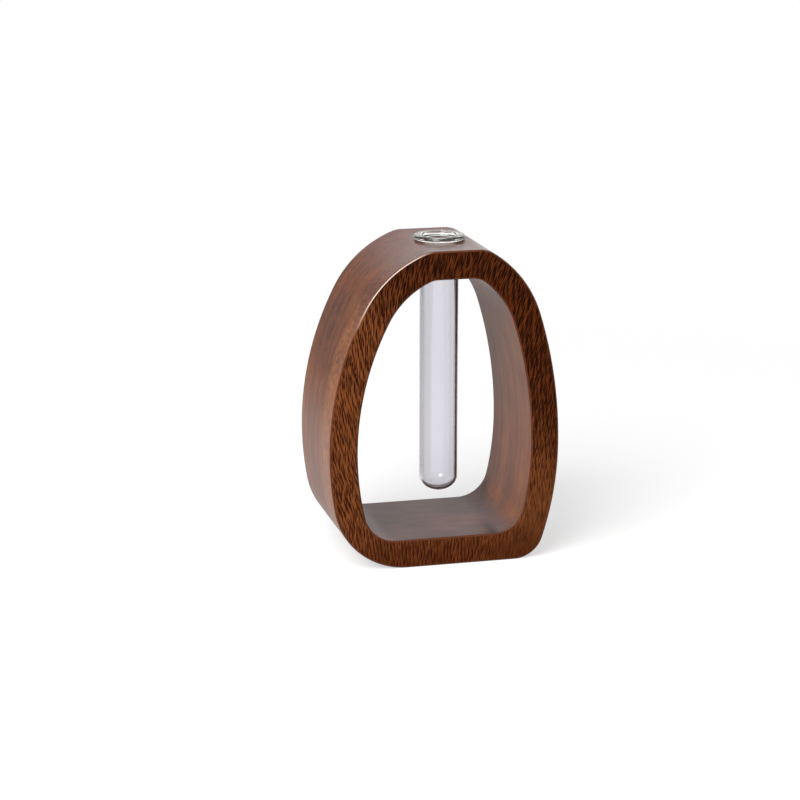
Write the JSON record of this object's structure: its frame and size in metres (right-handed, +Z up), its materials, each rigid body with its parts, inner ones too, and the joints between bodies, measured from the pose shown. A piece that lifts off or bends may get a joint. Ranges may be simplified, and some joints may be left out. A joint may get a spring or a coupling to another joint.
{
  "type": "test tube vase",
  "caption": "Small table vase: a clear glass test tube hangs by its rolled lip in a hole through the crown of an egg-shaped wooden frame with an open window and a flat foot.",
  "frame": {"origin": "middle of the frame's foot, on the surface that it stands on", "axes": "+Z up, along the tube; +X to the right across the front face; +Y from the front face to the back"},
  "size_m": [0.07, 0.04, 0.0965],
  "materials": {
    "wood": "oiled satin",
    "glass": "clear gloss"
  },
  "bodies": {
    "frame_body": {"wooden_frame": "wood"},
    "tube_body": {"test_tube": "glass"}
  },
  "joints": [
    {"name": "tube_lift", "type": "slide", "parent": "frame_body", "child": "tube_body", "axis": [0, 0, 1], "range_m": [0, 0.08]}
  ]
}
